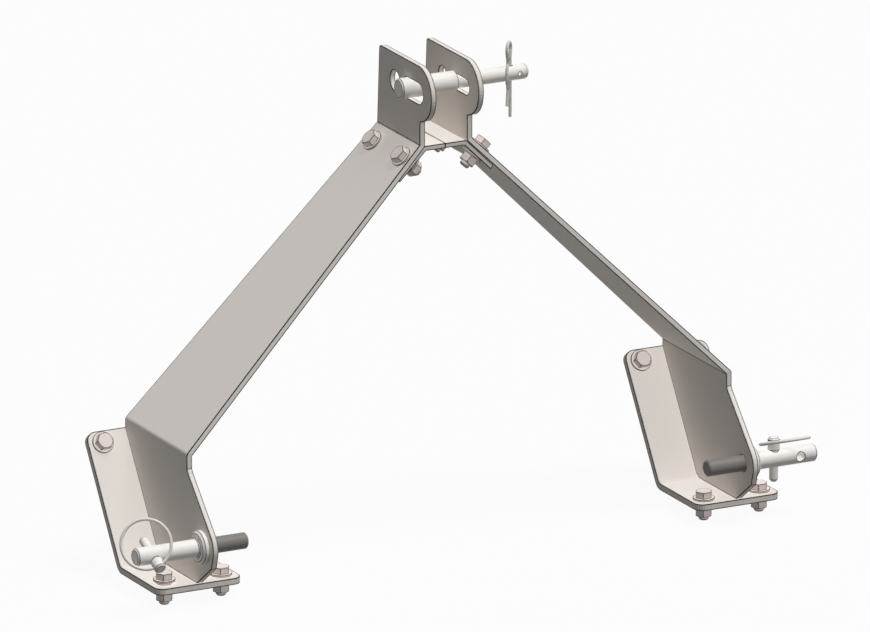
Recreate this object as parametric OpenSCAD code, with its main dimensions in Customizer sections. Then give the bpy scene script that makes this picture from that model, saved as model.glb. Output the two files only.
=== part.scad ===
// Fixed three-point linkage: two bent arms, a joining bracket, two mount brackets, pins and clips.
// X runs across the linkage, -Y towards the tractor, +Z up.
// The origin lies midway between the two base plates, level with their underside.

/* [Arms] */
// Distance between the middles of the two lower arm plates
arm_span = 731.6; // [690:1:860]
// Clear gap between the two top ears
ear_gap = 57; // [48:1:70]
// Thickness of the arm plate
arm_t = 7; // [6:0.5:9]
// Height of the top pin above the lower pins
mast_h = 498; // [460:1:560]
// How far the top pin sits behind the lower pins
mast_back = 114.5; // [105:1:122]
// Height of the ear above the top pin
ear_rise = 34.8; // [31:0.5:40]
// Depth from the top pin down to the fold between ear and strap
ear_drop = 63.6; // [56:1:72]
// Distance from the top pin to the rear edge of the ear at the fold
ear_rear = 80; // [70:1:90]
// Rearward lean of the rear edge over the height of the ear
ear_lean = 5.5; // [0:0.5:8]
// Height of the lower fold above the lower pins
fold_h = 104; // [98:1:116]
// Front edge of the lower plate behind the lower pin
foot_front = 42.5; // [36:1:48]
// Radius of the nose around the lower pin
nose_r = 27.5; // [24:0.5:30]

/* [Top pin holes] */
// Travel of the top pin along its slots
slot_travel = 28; // [15:1:32]
// Distance from the top pin back to the round hole
rear_hole_back = 33; // [31:1:38]
// Width of a slot or hole over the pin in it
slot_play = 1; // [0.6:0.1:1.6]

/* [Joining bracket] */
// Thickness of the joining bracket plate
join_t = 6; // [5:0.5:8]
// Length of each leg along the underside of the strap
leg_len = 52; // [48:1:70]
// Width of the bracket along the strap
join_w = 100; // [96:1:104]
// Distance from the front edge of the bracket to the front edge of the strap
join_inset = 2; // [0:0.5:5]

/* [Mount brackets] */
// Thickness of the mount bracket plate
mount_t = 8; // [6:0.5:10]
// Width of a mount bracket
mount_w = 114; // [108:1:130]
// Depth from the lower pins down to the base plate
pin_h = 50.4; // [46:0.5:56]
// Front edge of the base plate behind the lower pin
base_front = 13; // [9:0.5:16]
// Length of the base plate from its front edge to the line of the fold
base_len = 103.2; // [98:1:112]
// Rearward lean of the rear flange
flange_lean = 33; // [30:0.5:35]
// Length of the rear flange up from the fold
flange_len = 170; // [150:1:175]
// Inside radius of the fold
mount_fold_r = 8; // [6:0.5:10]
// Radius of the outer corners
corner_r = 12; // [6:1:14]

/* [Fasteners] */
// Diameter of the bolts
bolt_d = 12.7; // [11:0.1:13.5]
// Spacing of each pair of bolts
bolt_pitch = 76; // [70:1:78]
// Width across the flats of heads and nuts
hex_af = 19; // [18:0.5:21]
// Height of a bolt head
head_h = 8; // [6:0.5:10]
// Height of a nut
nut_h = 10.5; // [8:0.5:12]
// Outside diameter of the washers
washer_d = 27; // [25:0.5:29]
// Thickness of the washers
washer_t = 2.4; // [1.5:0.1:3]
// Thickness of the lock washer
lock_t = 3.4; // [2.5:0.1:4]
// Length of bolt that stands out of a nut
bolt_tail = 5; // [3:0.5:8]
// Base bolt line behind the lower pin
base_bolt_back = 35; // [31:1:38]
// Flange bolts below the top edge of the flange
flange_bolt_drop = 15; // [15:0.5:22]
// Top bolts down the strap from the ear
strap_bolt_drop = 23.5; // [20:0.5:26]
// Clearance of a hole over its bolt
bolt_play = 0.8; // [0.4:0.1:1.2]
// Clearance of a nut over its bolt
thread_play = 0.1; // [0.05:0.05:0.2]

/* [Top link pin] */
// Large diameter of the stepped pin
big_d = 25.4; // [24:0.1:26]
// Small diameter of the stepped pin
small_d = 19; // [18:0.1:20]
// Length of the large part outside the left ear
big_out = 12.5; // [8:0.5:20]
// Length of the small part outside the right ear
small_out = 90; // [84:1:100]
// Distance of the clip hole from the end of the pin
clip_hole_in = 22; // [18:1:26]
// Distance of the spare hole from the end of the pin
spare_hole_in = 13; // [11:0.5:14]
// Diameter of the spare hole
spare_hole_d = 5; // [4:0.5:6]

/* [Clip] */
// Wire diameter of the clip
clip_wire = 4; // [3:0.5:4.5]
// Clearance around the clip wire
clip_play = 0.6; // [0.4:0.1:1]
// Length of the straight leg below the pin axis
clip_low = 55; // [45:1:60]

/* [Lower pins] */
// Diameter of the lower pins
pin_d = 22; // [21:0.1:23]
// Length of a lower pin outside the arm
pin_out = 91.3; // [85:0.5:100]
// Diameter of the threaded stud
stud_d = 20; // [18:0.5:21]
// Length of the threaded stud inside the arm
stud_len = 50; // [30:1:52]
// Diameter of the collar
collar_d = 41; // [36:0.5:44]
// Thickness of the collar rim
collar_t = 6; // [4:0.5:8]
// Height of the bevel on the collar
collar_bevel = 3; // [2:0.5:4]
// Distance of the linch pin hole from the end of the pin
cross_in = 23.5; // [23:0.5:25]
// Distance of the second hole in the right pin from its end
cross_in_2 = 55.5; // [54:0.5:60]
// Diameter of the linch pin holes
cross_d = 11.6; // [11.4:0.1:12]

/* [Linch pins] */
// Diameter of a linch pin
linch_d = 11; // [10:0.1:11.2]
// Length of a linch pin from the axis of its pin to the tip
linch_tip = 29; // [24:1:36]
// Diameter of the head
linch_head_d = 15; // [14:0.5:17]
// Height of the head
linch_head_h = 15; // [13:0.5:18]
// Radius of the ring to the middle of its wire
ring_r = 30; // [29.5:0.5:32]
// Height of the ring's hole above the surface of its lower pin
ring_rise = 9; // [8.5:0.5:10]
// Wire diameter of the ring
ring_wire = 4; // [3.5:0.1:4.2]
// Diameter of the hole for the ring
ring_hole_d = 6.6; // [6.4:0.1:7]
// Turn of the left linch pin about its lower pin
left_turn = 116; // [112:1:120]
// Twist of the left ring about the linch pin
left_twist = 32; // [28:1:38]
// Lean of the left ring from the linch pin
left_ring_lean = 37; // [34:1:42]
// Twist of the right ring about the linch pin
right_twist = 0; // [-5:1:5]
// Lean of the right ring from the linch pin
right_ring_lean = -109; // [-116:1:-102]

/* [Hidden] */
fine = 48;
sides = [-1, 1];
eps = 0.01;
steel = [0.78, 0.76, 0.74];
pin_steel = [0.85, 0.84, 0.82];
bolt_steel = [0.79, 0.75, 0.73];
// Places of the folds of an arm in the X-Z plane
ear_in = ear_gap / 2;
ear_out = ear_in + arm_t;
foot_in = arm_span / 2 - arm_t / 2;
foot_out = foot_in + arm_t;
ear_fold_z = mast_h - ear_drop;
strap_angle = atan2(ear_fold_z - fold_h, foot_out - ear_out);
fold_inset = arm_t * tan((90 - strap_angle) / 2);
ear_top_z = mast_h + ear_rise;
slot_front = mast_back - slot_travel;
// The neck of the ear starts a little in front of the slot
neck_step = 4.5;
neck_y = slot_front - neck_step;
// Small bevel between the front edge of the lower plate and the slanted edge over the nose
foot_bevel = [3, 5];
// Where the nose meets the edge that runs down to the base plate
nose_cut = [5.5, 28];
ear_rear_y = mast_back + ear_rear;
// Places of the folds of a mount bracket in the Y-Z plane
base_rear = base_front + base_len;
flange_dir = [sin(flange_lean), cos(flange_lean)];
fold_tan = mount_fold_r * tan((90 - flange_lean) / 2);
fold_centre = [base_rear - fold_tan, -pin_h + mount_fold_r];
flange_top = [base_rear, -pin_h] + flange_dir * flange_len;
// Places of the bolts
flange_bolt_along = flange_len - flange_bolt_drop;
strap_bolt_y = neck_y + join_inset + join_w / 2;
clip_x = ear_out + small_out - clip_hole_in;
spare_x = ear_out + small_out - spare_hole_in;
cross_x = foot_out + pin_out - cross_in;
cross_x_2 = foot_out + pin_out - cross_in_2;
ring_axis_h = pin_d / 2 + ring_rise;
chamfer = 1.5;
// Gap between the step of the top pin and the right ear
step_play = 0.3;

function arc(c, r, from, to, n) =
    [for (i = [0:n]) c + r * [cos(from + (to - from) * i / n), sin(from + (to - from) * i / n)]];

// Moves the lower pin axis to its place over the base plates
module placed() {
    translate([0, -base_bolt_back, pin_h + mount_t]) children();
}
// Turns the X-Y plane of a profile into the Y-Z plane and extrudes it along X
module across(x0, x1) {
    translate([x0, 0, 0]) rotate([90, 0, 90]) linear_extrude(x1 - x0) children();
}
module side(s) {
    mirror([s < 0 ? 1 : 0, 0, 0]) children();
}
// Lays the children on the upper face of the strap, under the line of the top bolts
module on_strap() {
    d = [cos(strap_angle), -sin(strap_angle)] * strap_bolt_drop;
    translate([ear_out + d[0], strap_bolt_y, ear_fold_z + d[1]]) rotate([0, strap_angle, 0]) children();
}
// Lays the children on the front face of the rear flange, with Z out of the face
module on_flange(x, along) {
    translate([x, base_rear + flange_dir[0] * along, -pin_h + flange_dir[1] * along])
        rotate([90 - flange_lean, 0, 0]) children();
}
module bolt_pair_y() {
    for (y = sides) translate([0, y * bolt_pitch / 2, 0]) children();
}
module bolt_hole(depth) {
    translate([0, 0, -depth - 1]) cylinder(d = bolt_d + bolt_play, h = depth + 2, $fn = fine);
}

// Arms
module arm_front_profile() {
    fold = [ear_out, ear_fold_z];
    corner = [foot_in, fold_h - fold_inset];
    polygon(concat(
        [[ear_in, ear_top_z], [ear_out, ear_top_z], fold],
        arc(corner, arm_t, 90 - strap_angle, 0, 5),
        [[foot_out, -pin_h], [foot_in, -pin_h], corner],
        arc(fold, arm_t, 270 - strap_angle, 180, 5)));
}
module arm_side_profile() {
    slant = 136;
    tangent = nose_r * [cos(slant), sin(slant)];
    along = (foot_front - foot_bevel[0] - tangent[0]) / sin(slant);
    slant_top = tangent + along * [sin(slant), -cos(slant)];
    rear_top = [ear_rear_y - ear_lean, ear_top_z];
    polygon(concat(
        arc(rear_top - [4, 4], 4, 0, 90, 3),
        arc([slot_front, mast_h], ear_rise, 90, 262, 24),
        [[neck_y, mast_h - ear_rise - 4], [neck_y, ear_fold_z], [foot_front, fold_h], [foot_front, slant_top[1] + foot_bevel[1]]],
        [slant_top],
        arc([0, 0], nose_r, slant, 200, 10),
        [[nose_cut[0] - nose_r, nose_cut[1] - pin_h], [base_front + 3, -pin_h]],
        [[base_rear - fold_tan, -pin_h], [base_rear, -pin_h] + flange_dir * fold_tan],
        [flange_top, [flange_top[0], fold_h], [ear_rear_y, ear_fold_z]]));
}
module slot(d, thick) {
    for (y = [slot_front, mast_back])
        translate([0, y, mast_h]) rotate([0, 90, 0]) cylinder(d = d, h = thick, center = true, $fn = fine);
    translate([0, (slot_front + mast_back) / 2, mast_h]) cube([thick, slot_travel, d], center = true);
}
module arm(pin) {
    hole = pin + slot_play;
    difference() {
        intersection() {
            rotate([90, 0, 0]) translate([0, 0, -400]) linear_extrude(600) arm_front_profile();
            across(0, foot_out + 10) arm_side_profile();
        }
        translate([ear_in + arm_t / 2, 0, 0]) slot(hole, arm_t * 2);
        translate([ear_in + arm_t / 2, mast_back + rear_hole_back, mast_h]) rotate([0, 90, 0])
            cylinder(d = hole, h = arm_t * 2, center = true, $fn = fine);
        translate([foot_in + arm_t / 2, 0, 0]) rotate([0, 90, 0])
            cylinder(d = stud_d + thread_play * 2, h = arm_t * 2, center = true, $fn = fine);
        on_strap() bolt_pair_y() bolt_hole(arm_t);
    }
}
module left_arm() {
    color(steel) placed() side(-1) arm(big_d);
}
module right_arm() {
    color(steel) placed() side(1) arm(small_d);
}

// Joining bracket, one folded half under each arm
module joining_half() {
    top = ear_fold_z - fold_inset;
    fold = [ear_in, top];
    turn = 90 - strap_angle;
    inner = fold + [-join_t * tan((90 - turn) / 2), -join_t];
    leg = leg_len * [cos(strap_angle), -sin(strap_angle)];
    inward = -join_t * [sin(strap_angle), cos(strap_angle)];
    difference() {
        translate([0, neck_y + join_inset + join_w, 0]) rotate([90, 0, 0]) linear_extrude(join_w)
            polygon([[0, top], fold, fold + leg, fold + leg + inward, inner, [0, top - join_t]]);
        on_strap() bolt_pair_y() bolt_hole(arm_t + join_t);
    }
}
module left_joining_bracket() {
    color(steel) placed() side(-1) joining_half();
}
module right_joining_bracket() {
    color(steel) placed() side(1) joining_half();
}

// Mount brackets, base plate, fold and rear flange in one piece
module end_rounded_plate(w, l, r) {
    polygon(concat([[-w / 2, 0]], arc([-w / 2 + r, l - r], r, 180, 90, 6),
        arc([w / 2 - r, l - r], r, 90, 0, 6), [[w / 2, 0]]));
}
module mount_bracket() {
    mid = foot_in + arm_t / 2;
    turn = 90 - flange_lean;
    fold_out = mount_fold_r + mount_t;
    difference() {
        union() {
            translate([mid, base_rear - fold_tan + eps, -pin_h - mount_t]) mirror([0, 1, 0])
                linear_extrude(mount_t) end_rounded_plate(mount_w, base_len - fold_tan + eps, corner_r);
            across(mid - mount_w / 2, mid + mount_w / 2) polygon(concat(
                arc(fold_centre, mount_fold_r, -90, -90 + turn, 6),
                arc(fold_centre, fold_out, -90 + turn, -90, 6)));
            on_flange(mid, fold_tan - eps) translate([0, 0, -mount_t])
                linear_extrude(mount_t) end_rounded_plate(mount_w, flange_len - fold_tan + eps, corner_r);
        }
        for (s = sides) {
            translate([mid + s * bolt_pitch / 2, base_bolt_back, -pin_h]) bolt_hole(mount_t);
            on_flange(mid + s * bolt_pitch / 2, flange_bolt_along) bolt_hole(mount_t);
        }
    }
}
module left_mount_bracket() {
    color(steel) placed() side(-1) mount_bracket();
}
module right_mount_bracket() {
    color(steel) placed() side(1) mount_bracket();
}

// Fasteners, built along Z with the face that they clamp at zero
module hex_body(h, top, bottom) {
    r = hex_af / sqrt(3);
    cut = r - hex_af / 2;
    intersection() {
        cylinder(r = r, h = h, $fn = 6);
        rotate_extrude($fn = fine) polygon([[0, 0], [r - bottom * cut, 0], [r, bottom * cut * 0.6],
            [r, h - top * cut * 0.6], [r - top * cut, h], [0, h]]);
    }
}
module washer() {
    difference() {
        cylinder(d = washer_d, h = washer_t, $fn = fine);
        translate([0, 0, -1]) cylinder(d = bolt_d + bolt_play, h = washer_t + 2, $fn = fine);
    }
}
module bolt(grip, lift) {
    tail = grip + washer_t + nut_h + bolt_tail;
    translate([0, 0, washer_t + lift]) hex_body(head_h, 1, 0);
    rotate_extrude($fn = fine) polygon([[0, washer_t + lift + eps], [bolt_d / 2, washer_t + lift + eps],
        [bolt_d / 2, chamfer - tail], [bolt_d / 2 - chamfer, -tail], [0, -tail]]);
}
module nut(grip) {
    translate([0, 0, -grip - washer_t - nut_h]) difference() {
        hex_body(nut_h, 1, 1);
        translate([0, 0, -1]) cylinder(d = bolt_d + thread_play * 2, h = nut_h + 2, $fn = fine);
    }
}
module washer_stack(grip) {
    washer();
    translate([0, 0, -grip - washer_t]) washer();
}
module at_top_bolts() {
    color(bolt_steel) placed() for (s = sides) side(s) on_strap() bolt_pair_y() children();
}
module at_flange_bolts() {
    color(bolt_steel) placed() for (s = sides, b = sides)
        side(s) on_flange(foot_in + arm_t / 2 + b * bolt_pitch / 2, flange_bolt_along) children();
}
module base_bolt_place(s, b) {
    side(s) translate([foot_in + arm_t / 2 + b * bolt_pitch / 2, base_bolt_back, -pin_h]) children();
}
// The outer bolt of the left bracket stands on a lock washer
function lift_at(s, b) = s < 0 && b > 0 ? lock_t : 0;
module top_bolts() {
    at_top_bolts() bolt(arm_t + join_t, 0);
}
module top_washers() {
    at_top_bolts() washer_stack(arm_t + join_t);
}
module top_nuts() {
    at_top_bolts() nut(arm_t + join_t);
}
module flange_bolts() {
    at_flange_bolts() bolt(mount_t, 0);
}
module flange_washers() {
    at_flange_bolts() washer_stack(mount_t);
}
module flange_nuts() {
    at_flange_bolts() nut(mount_t);
}
module base_bolts() {
    color(bolt_steel) placed() for (s = sides, b = sides) base_bolt_place(s, b) bolt(mount_t, lift_at(s, b));
}
module base_washers() {
    color(bolt_steel) placed() for (s = sides, b = sides) base_bolt_place(s, b) {
        translate([0, 0, lift_at(s, b)]) washer();
        translate([0, 0, -mount_t - washer_t]) washer();
    }
}
module base_nuts() {
    color(bolt_steel) placed() for (s = sides, b = sides) base_bolt_place(s, b) nut(mount_t);
}
module lock_washer() {
    color(bolt_steel) placed() base_bolt_place(-1, 1) difference() {
        cylinder(d = hex_af, h = lock_t, $fn = fine);
        translate([0, 0, -1]) cylinder(d = bolt_d + bolt_play, h = lock_t + 2, $fn = fine);
    }
}

// Top link pin, turned in two diameters
module turned(points) {
    rotate([90, 0, 90]) rotate_extrude($fn = fine) polygon(points);
}
module top_link_pin() {
    left = -ear_out - big_out;
    step = ear_in - step_play;
    right = ear_out + small_out;
    rb = big_d / 2;
    rs = small_d / 2;
    color(pin_steel) placed() translate([0, mast_back, mast_h]) difference() {
        turned([[0, left], [rb - 2, left], [rb, left + 2], [rb, step - 1], [rb - 1, step], [rs, step],
            [rs, right - 4], [rs - 1.2, right - 1.5], [rs - 3.5, right], [0, right]]);
        translate([clip_x, 0, 0]) cylinder(d = clip_wire + clip_play * 2, h = big_d * 2, center = true, $fn = fine);
        translate([spare_x, 0, 0]) rotate([90, 0, 0])
            cylinder(d = spare_hole_d, h = big_d * 2, center = true, $fn = fine);
    }
}

// Retaining clip, one bent wire: a straight leg through the pin and a waved leg in front of it
clip_turn = 228;
clip_reach = (small_d / 2 + clip_wire / 2 + 0.4) / abs(sin(clip_turn));
clip_path = concat(
    [[0, -clip_low], [0, -30], [0, 0], [0, 20]],
    arc([6.5, 31], 9, 205, -25, 14),
    [[13.5, 24], [11, 18], [11, 14], [clip_reach - 1.5, 8.5], [clip_reach, 4], [clip_reach, -4],
        [clip_reach - 1.5, -8.5], [11.5, -14], [10.5, -18], [11.5, -24], [13, -31], [14.5, -38]]);
function heading(i, p) = p[min(i + 1, len(p) - 1)] - p[max(i - 1, 0)];
module wire(path, d, n) {
    k = len(path);
    rings = [for (i = [0:k - 1]) let (h = heading(i, path), u = [h[1], -h[0]] / norm(h))
        for (j = [0:n - 1]) let (a = 360 * j / n)
            [path[i][0] + u[0] * cos(a) * d / 2, sin(a) * d / 2, path[i][1] + u[1] * cos(a) * d / 2]];
    faces = concat(
        [[for (j = [0:n - 1]) j]], [[for (j = [n - 1:-1:0]) (k - 1) * n + j]],
        [for (i = [0:k - 2], j = [0:n - 1])
            [i * n + j, (i + 1) * n + j, (i + 1) * n + (j + 1) % n, i * n + (j + 1) % n]]);
    polyhedron(points = rings, faces = faces);
}
module retaining_clip() {
    color(pin_steel) placed() translate([clip_x, mast_back, mast_h]) rotate([0, 0, clip_turn])
        wire(clip_path, clip_wire, 12);
}

// Lower pins, each with a collar outside the arm and a threaded stud through it
module lower_pin() {
    r = pin_d / 2;
    rs = stud_d / 2;
    rc = collar_d / 2;
    in_end = foot_in - stud_len;
    out_end = foot_out + pin_out;
    bevel_x = foot_out + collar_t;
    turned([[0, in_end], [rs - chamfer, in_end], [rs, in_end + chamfer], [rs, foot_out], [rc - 1, foot_out],
        [rc, foot_out + 1], [rc, bevel_x], [rc - collar_bevel, bevel_x + collar_bevel],
        [r + 1.5, bevel_x + collar_bevel], [r, bevel_x + collar_bevel + 1.5], [r, out_end - 2],
        [r - 2, out_end], [0, out_end]]);
}
module cross_hole(x, turn) {
    translate([x, 0, 0]) rotate([turn, 0, 0]) cylinder(d = cross_d, h = pin_d * 2, center = true, $fn = fine);
}
module left_lower_pin() {
    color(pin_steel) placed() difference() {
        side(-1) lower_pin();
        cross_hole(-cross_x, left_turn);
    }
}
module right_lower_pin() {
    color(pin_steel) placed() difference() {
        lower_pin();
        cross_hole(cross_x, 90);
        cross_hole(cross_x_2, 0);
    }
}

// Linch pins and their rings, built along Z with the axis of the lower pin at zero
module linch_pin(twist) {
    r = linch_d / 2;
    rh = linch_head_d / 2;
    foot = pin_d / 2 + 0.5;
    top = foot + linch_head_h;
    difference() {
        rotate_extrude($fn = fine) polygon([[0, -linch_tip], [r - 2, -linch_tip], [r, -linch_tip + 3],
            [r, foot], [rh, foot], [rh, top - 2], [rh - 2, top], [0, top]]);
        translate([0, 0, ring_axis_h]) rotate([0, 90, twist])
            cylinder(d = ring_hole_d, h = linch_head_d * 2, center = true, $fn = fine);
    }
}
module linch_ring(twist, lean) {
    rotate([0, 0, twist]) translate([0, 0, ring_axis_h]) rotate([lean, 0, 0]) translate([0, 0, -ring_r])
        rotate([90, 0, 0]) rotate_extrude($fn = fine) translate([ring_r, 0]) circle(d = ring_wire, $fn = 24);
}
module left_linch_place() {
    placed() translate([-cross_x, 0, 0]) rotate([left_turn, 0, 0]) children();
}
module right_linch_place() {
    placed() translate([cross_x_2, 0, 0]) children();
}
module left_linch_pin() {
    color(pin_steel) left_linch_place() linch_pin(left_twist);
}
module left_linch_ring() {
    color(pin_steel) left_linch_place() linch_ring(left_twist, left_ring_lean);
}
module right_linch_pin() {
    color(pin_steel) right_linch_place() linch_pin(right_twist);
}
module right_linch_ring() {
    color(pin_steel) right_linch_place() linch_ring(right_twist, right_ring_lean);
}

left_arm();
right_arm();
left_joining_bracket();
right_joining_bracket();
left_mount_bracket();
right_mount_bracket();
top_bolts();
top_washers();
top_nuts();
flange_bolts();
flange_washers();
flange_nuts();
base_bolts();
base_washers();
lock_washer();
base_nuts();
top_link_pin();
retaining_clip();
left_lower_pin();
right_lower_pin();
left_linch_pin();
left_linch_ring();
right_linch_pin();
right_linch_ring();
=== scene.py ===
import math

import bpy
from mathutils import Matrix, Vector


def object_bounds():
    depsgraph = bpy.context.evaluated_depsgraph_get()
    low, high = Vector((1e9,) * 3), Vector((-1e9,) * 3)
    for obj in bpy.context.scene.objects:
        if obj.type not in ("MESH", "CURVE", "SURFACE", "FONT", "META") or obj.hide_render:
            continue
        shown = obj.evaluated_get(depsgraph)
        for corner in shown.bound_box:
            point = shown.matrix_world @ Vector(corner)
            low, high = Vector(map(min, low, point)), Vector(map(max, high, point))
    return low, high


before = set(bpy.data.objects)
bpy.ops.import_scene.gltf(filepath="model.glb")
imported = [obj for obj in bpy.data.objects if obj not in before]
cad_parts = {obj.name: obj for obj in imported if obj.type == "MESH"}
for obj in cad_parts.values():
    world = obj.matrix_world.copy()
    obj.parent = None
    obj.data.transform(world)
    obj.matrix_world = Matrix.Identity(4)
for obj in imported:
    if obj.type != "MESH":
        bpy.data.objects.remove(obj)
loaded_size = [list(corner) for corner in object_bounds()]
bpy.ops.object.select_all(action="DESELECT")

# Arms: each is one 7 mm steel plate, bent into an ear, a long strap and a lower plate.
# The plate is sheared, folded on a press and blasted, and it stands on its mount bracket.
# The joining bracket, in two folded halves, is the same plate and is bolted under the straps.


def linear(text):
    """The linear colour of an sRGB hex value such as #c0c0c0."""
    parts = [int(text[i:i + 2], 16) / 255 for i in (1, 3, 5)]
    return [p / 12.92 if p <= 0.04045 else ((p + 0.055) / 1.055) ** 2.4 for p in parts] + [1]


def add(tree, kind, settings=None, links=None):
    """Adds a node with its settings, and links its sockets to other nodes' outputs."""
    made = tree.nodes.new(kind)
    for name, value in (settings or {}).items():
        if hasattr(made, name):
            setattr(made, name, value)
        else:
            made.inputs[name].default_value = value
    for name, source in (links or {}).items():
        tree.links.new(source, made.inputs[name])
    return made


def steel(name, face, edge_shade_width, roughness, grain):
    """A dull steel with a painted dark shade line along its edges and creases, and a faint grain of
    the given size in metres.
    """
    # Painted shade: the colour of the dark line that is painted along every edge and crease.
    painted_edge_shade = "#0e0d0c"
    made = bpy.data.materials.new(name)
    made.use_nodes = True
    tree = made.node_tree
    shader = tree.nodes["Principled BSDF"]
    shader.inputs["Roughness"].default_value = roughness
    shader.inputs["Specular IOR Level"].default_value = 0.25
    place = add(tree, "ShaderNodeTexCoord")
    speckle = add(tree, "ShaderNodeTexNoise", {"Scale": 1 / grain, "Detail": 2.0},
                  {"Vector": place.outputs["Object"]})
    shade = add(tree, "ShaderNodeMapRange",
                {"From Min": 0.3, "From Max": 0.7, "To Min": 0.97, "To Max": 1.0},
                {"Value": speckle.outputs["Fac"]})
    tone = add(tree, "ShaderNodeMix", {"data_type": "RGBA", "blend_type": "MULTIPLY"})
    tone.inputs["Factor"].default_value = 1
    tone.inputs[6].default_value = linear(face)
    tree.links.new(shade.outputs["Result"], tone.inputs[7])
    # Painted shade: where the bevelled normal turns away from the surface normal, at edges and
    # creases, the colour goes to the dark line.
    surface = add(tree, "ShaderNodeNewGeometry")
    rounded = add(tree, "ShaderNodeBevel", {"samples": 8, "Radius": edge_shade_width})
    match = add(tree, "ShaderNodeVectorMath", {"operation": "DOT_PRODUCT"})
    tree.links.new(rounded.outputs["Normal"], match.inputs[0])
    tree.links.new(surface.outputs["Normal"], match.inputs[1])
    clear_of_edge_shade = add(tree, "ShaderNodeMapRange", {"From Min": 0.985, "From Max": 0.9985},
                {"Value": match.outputs["Value"]})
    with_painted_edge_shade = add(tree, "ShaderNodeMix", {"data_type": "RGBA"})
    tree.links.new(clear_of_edge_shade.outputs["Result"], with_painted_edge_shade.inputs[0])
    with_painted_edge_shade.inputs[6].default_value = linear(painted_edge_shade)
    tree.links.new(tone.outputs[2], with_painted_edge_shade.inputs[7])
    tree.links.new(with_painted_edge_shade.outputs[2], shader.inputs["Base Color"])
    return made


def wear(node_name, material):
    """Puts one material on a CAD node."""
    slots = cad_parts[node_name].data.materials
    slots.clear()
    slots.append(material)


# The blasted plate is a matte, warm light grey with no mirror, and a dark shade line is painted along
# its edges and creases.
# Blasting grit leaves a grain of about 0.3 mm, drawn at 2 mm so that it shows.
blasted_plate = steel("blasted_mild_steel_plate", face="#e6e0da", edge_shade_width=0.0024,
                      roughness=0.8, grain=0.002)
for plate in ("left_arm", "right_arm", "left_joining_bracket", "right_joining_bracket"):
    wear(plate, blasted_plate)

# Mount brackets: each is one 8 mm steel plate, folded into a level base and a leaning rear flange.
# It is the same blasted plate as the arms, and it bolts to the implement's frame.
for plate in ("left_mount_bracket", "right_mount_bracket"):
    wear(plate, blasted_plate)

# Bolts, washers and nuts: cold formed steel with a thin, slightly warm zinc coat.
# They are tightened through the plates, and fine dark shade lines are painted along their corners.
zinc_coat = steel("zinc_plated_steel", face="#e3d9d4", edge_shade_width=0.0015, roughness=0.6, grain=0.0015)
for fastener in ("top_bolts", "top_washers", "top_nuts", "flange_bolts", "flange_washers",
                 "flange_nuts", "base_bolts", "base_washers", "lock_washer", "base_nuts"):
    wear(fastener, zinc_coat)

# Top link pin: a steel bar turned in two diameters, with a cross hole for its clip.
# It is pushed through the ears from the left, and its surface is smooth and a little bright.
# A fine dark shade line is painted along its edges.
turned_bar = steel("turned_steel_bar", face="#efece8", edge_shade_width=0.0016, roughness=0.5, grain=0.0015)
wear("top_link_pin", turned_bar)

# Retaining clip: one length of spring wire, its straight leg in the pin and its waved leg round it.
# Drawn wire is smooth, and only a hair of painted dark shade line runs along it.
drawn_wire = steel("drawn_spring_wire", face="#e4e1dc", edge_shade_width=0.0004, roughness=0.5, grain=0.001)
wear("retaining_clip", drawn_wire)

# Lower pins: turned steel, each with a collar and a threaded stud that screws through the arm.
# The stud inside the arm keeps the dark oil of its cut thread, and the outer part is bright.
# A fine dark shade line is painted along their edges as well.
lower_pin_steel = steel("turned_steel_bar_with_dark_stud", face="#efece8", edge_shade_width=0.0016,
                        roughness=0.5, grain=0.0015)
oiled_thread = "#7c7875"
arm_inner_face = 0.3623
tree = lower_pin_steel.node_tree
place = add(tree, "ShaderNodeTexCoord")
across = add(tree, "ShaderNodeSeparateXYZ", links={"Vector": place.outputs["Object"]})
reach = add(tree, "ShaderNodeMath", {"operation": "ABSOLUTE"})
tree.links.new(across.outputs["X"], reach.inputs[0])
bright = add(tree, "ShaderNodeMath", {"operation": "GREATER_THAN"})
bright.inputs[1].default_value = arm_inner_face
tree.links.new(reach.outputs["Value"], bright.inputs[0])
shader = tree.nodes["Principled BSDF"]
plain = shader.inputs["Base Color"].links[0].from_socket
stud = add(tree, "ShaderNodeMix", {"data_type": "RGBA"})
tree.links.new(bright.outputs["Value"], stud.inputs[0])
stud.inputs[6].default_value = linear(oiled_thread)
tree.links.new(plain, stud.inputs[7])
tree.links.new(stud.outputs[2], shader.inputs["Base Color"])
for pin in ("left_lower_pin", "right_lower_pin"):
    wear(pin, lower_pin_steel)

# Linch pins and their rings: a turned peg with a drilled head, and a spring ring of drawn wire.
# They go through cross holes of the lower pins and keep the tractor's links on.
for peg in ("left_linch_pin", "right_linch_pin"):
    wear(peg, turned_bar)
for ring in ("left_linch_ring", "right_linch_ring"):
    wear(ring, drawn_wire)

# Floor: a plain pale sheet under the bolt ends. The camera and mirror rays see it nearly white.
# It keeps the shadow of the part, faintly, and throws little light back up on it.


def seen_by_camera(tree):
    """The output that is 1 for rays straight from the camera, mirrored or let through, else 0."""
    rays = add(tree, "ShaderNodeLightPath")
    direct_or_mirrored = add(tree, "ShaderNodeMath", {"operation": "MAXIMUM"})
    tree.links.new(rays.outputs["Is Camera Ray"], direct_or_mirrored.inputs[0])
    tree.links.new(rays.outputs["Is Glossy Ray"], direct_or_mirrored.inputs[1])
    any_of_them = add(tree, "ShaderNodeMath", {"operation": "MAXIMUM"})
    tree.links.new(direct_or_mirrored.outputs["Value"], any_of_them.inputs[0])
    tree.links.new(rays.outputs["Is Transmission Ray"], any_of_them.inputs[1])
    return any_of_them.outputs["Value"]


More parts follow.
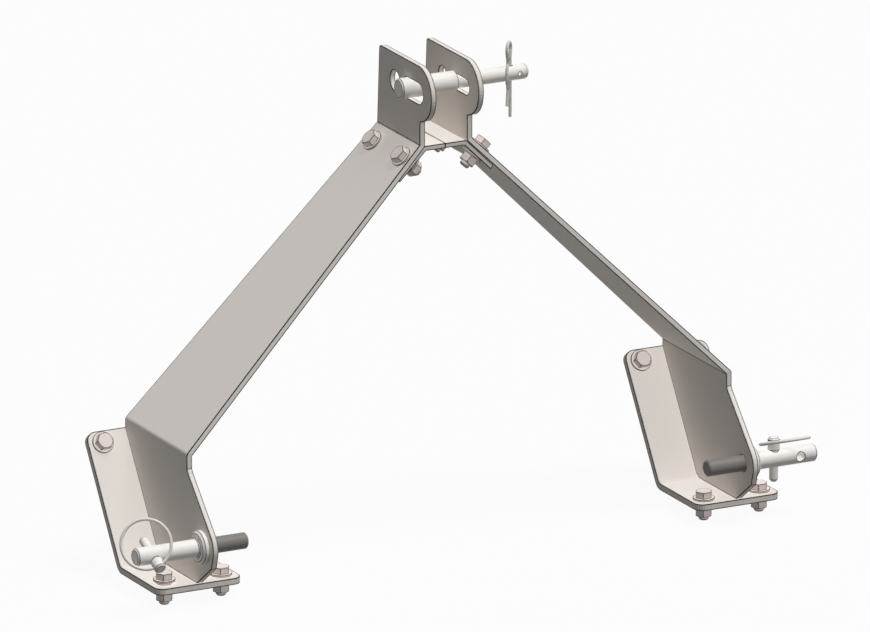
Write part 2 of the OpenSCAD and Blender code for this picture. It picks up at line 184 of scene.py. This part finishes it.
sheet_size = 30
gap_under_bolts = 0.0002
bpy.ops.object.select_all(action="DESELECT")
bpy.ops.mesh.primitive_plane_add(size=sheet_size,
                                 location=(0, 0, loaded_size[0][2] - gap_under_bolts))
floor = bpy.context.object
floor.name = "floor"
paper = bpy.data.materials.new("white_paper")
paper.use_nodes = True
tree = paper.node_tree
tree.nodes.clear()
white = add(tree, "ShaderNodeEmission", {"Color": (1, 1, 1, 1), "Strength": 1.0})
matte = add(tree, "ShaderNodeBsdfDiffuse", {"Color": (0.85, 0.85, 0.85, 1)})
dim = add(tree, "ShaderNodeBsdfDiffuse", {"Color": (0.2, 0.2, 0.2, 1)})
sheet = add(tree, "ShaderNodeMixShader", {"Fac": 0.2})
tree.links.new(white.outputs[0], sheet.inputs[1])
tree.links.new(matte.outputs[0], sheet.inputs[2])
whole = add(tree, "ShaderNodeMixShader", links={"Fac": seen_by_camera(tree)})
tree.links.new(dim.outputs[0], whole.inputs[1])
tree.links.new(sheet.outputs[0], whole.inputs[2])
out = add(tree, "ShaderNodeOutputMaterial")
tree.links.new(whole.outputs[0], out.inputs["Surface"])
floor.data.materials.append(paper)

# Room: the empty white page round the part, as the camera and the reflections see it.
# For everything else it is a soft, even grey light.
room = bpy.data.worlds.new("room")
bpy.context.scene.world = room
room.use_nodes = True
tree = room.node_tree
tree.nodes.clear()
soft = add(tree, "ShaderNodeBackground", {"Color": (1, 1, 1, 1), "Strength": 0.15})
white = add(tree, "ShaderNodeBackground", {"Color": (1, 1, 1, 1), "Strength": 1.0})
whole = add(tree, "ShaderNodeMixShader", links={"Fac": seen_by_camera(tree)})
tree.links.new(soft.outputs[0], whole.inputs[1])
tree.links.new(white.outputs[0], whole.inputs[2])
out = add(tree, "ShaderNodeOutputWorld")
tree.links.new(whole.outputs[0], out.inputs["Surface"])

# Lamps: both shine from high up, in front and a little to the right. The main one throws no
# shadow, so that plates under the straps are as bright as in the picture. The small one does.
lamp_from = Vector((0.182, -0.3125, 0.932))
lamp_distance = 3
lamp_spread = math.radians(25)
for lamp_name, strength, throws_shadow in (("main_lamp", 2.5, False), ("shadow_lamp", 0.5, True)):
    bpy.ops.object.light_add(type="SUN", location=lamp_from * lamp_distance)
    lamp = bpy.context.object
    lamp.name = lamp_name
    lamp.data.energy = strength
    lamp.data.use_shadow = throws_shadow
    lamp.data.angle = lamp_spread
    lamp.rotation_mode = "QUATERNION"
    lamp.rotation_quaternion = lamp_from.to_track_quat("Z", "Y")

# Camera: a very long lens from far off, in front, to the left and above.
# The view is nearly parallel, as the picture's is, and still closes in on the part from any side.
camera_distance = 24
pixels_across = 870
pixels_per_metre = 830
turn = math.radians(-27.2)
rise = math.radians(17.05)
right = Vector((math.cos(turn), math.sin(turn), 0))
up = Vector((-math.sin(turn) * math.sin(rise), math.cos(turn) * math.sin(rise), math.cos(rise)))
back = Vector((math.sin(turn) * math.cos(rise), -math.cos(turn) * math.cos(rise), math.sin(rise)))
lower_pin_axis = Vector((0, -0.035, 0.0584))
aim_left = 0.05075
aim_up = 0.2268
target = lower_pin_axis - aim_left * right + aim_up * up
lens = bpy.data.cameras.new("camera")
lens.sensor_width = 36
lens.lens = lens.sensor_width * camera_distance * pixels_per_metre / pixels_across
lens.clip_end = 200
camera = bpy.data.objects.new("camera", lens)
bpy.context.scene.collection.objects.link(camera)
camera.location = target + back * camera_distance
camera.rotation_mode = "QUATERNION"
camera.rotation_quaternion = (-back).to_track_quat("-Z", "Y")
bpy.context.scene.camera = camera
bpy.context.scene.view_settings.view_transform = "Standard"
